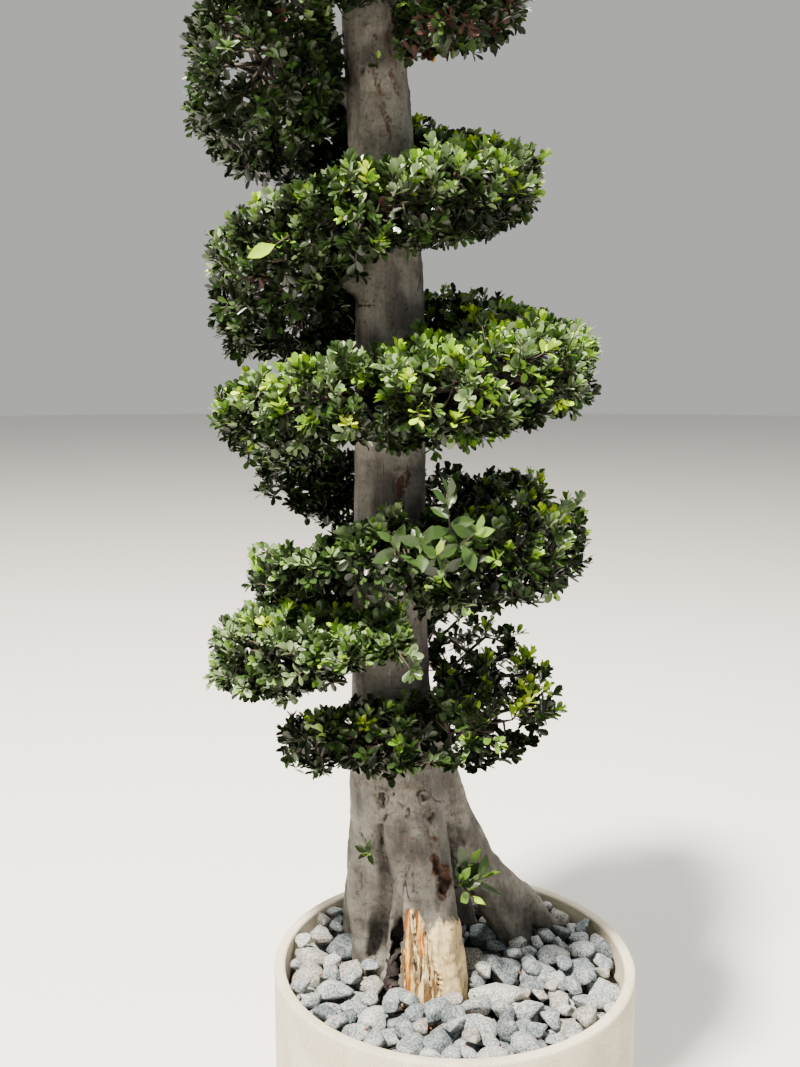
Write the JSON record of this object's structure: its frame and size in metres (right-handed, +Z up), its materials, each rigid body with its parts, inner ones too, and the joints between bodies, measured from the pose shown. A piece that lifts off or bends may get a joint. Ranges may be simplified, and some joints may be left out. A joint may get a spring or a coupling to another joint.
{
  "type": "potted ficus tree",
  "caption": "Tall ficus clipped to a rising spiral of dense foliage round a bare trunk with a flared root foot, in a round pale planter topped with river stones.",
  "frame": {"origin": "middle of the planter's flat underside", "axes": "+Z up along the trunk, -Y to the front, where the peeled front root shows, +X to the right seen from the front"},
  "size_m": [0.851, 0.7968, 2.95],
  "materials": {
    "planter": "matte",
    "soil": "matte",
    "river_stone": "matte",
    "bark": "matte",
    "foliage": "satin",
    "young_foliage": "satin"
  },
  "bodies": {
    "root": {"pot": "planter", "soil": "soil", "stone_bed": "river_stone", "trunk": "bark", "bough_01": "bark", "bough_02": "bark", "bough_03": "bark", "bough_04": "bark", "bough_05": "bark", "bough_06": "bark", "bough_07": "bark", "bough_08": "bark", "bough_09": "bark", "bough_10": "bark", "bough_11": "bark", "bough_12": "bark", "bough_13": "bark", "bough_14": "bark", "bough_15": "bark", "bough_16": "bark", "bough_17": "bark", "bough_18": "bark", "bough_19": "bark", "bough_20": "bark", "clump_01": "foliage", "clump_02": "foliage", "clump_03": "foliage", "clump_04": "foliage", "clump_05": "foliage", "clump_06": "foliage", "clump_07": "foliage", "clump_08": "foliage", "clump_09": "foliage", "clump_10": "foliage", "clump_11": "foliage", "clump_12": "foliage", "clump_13": "foliage", "clump_14": "foliage", "clump_15": "foliage", "clump_16": "foliage", "clump_17": "foliage", "clump_18": "foliage", "clump_19": "foliage", "clump_20": "foliage", "crown_top": "foliage", "young_shoot": "young_foliage"}
  },
  "joints": []
}
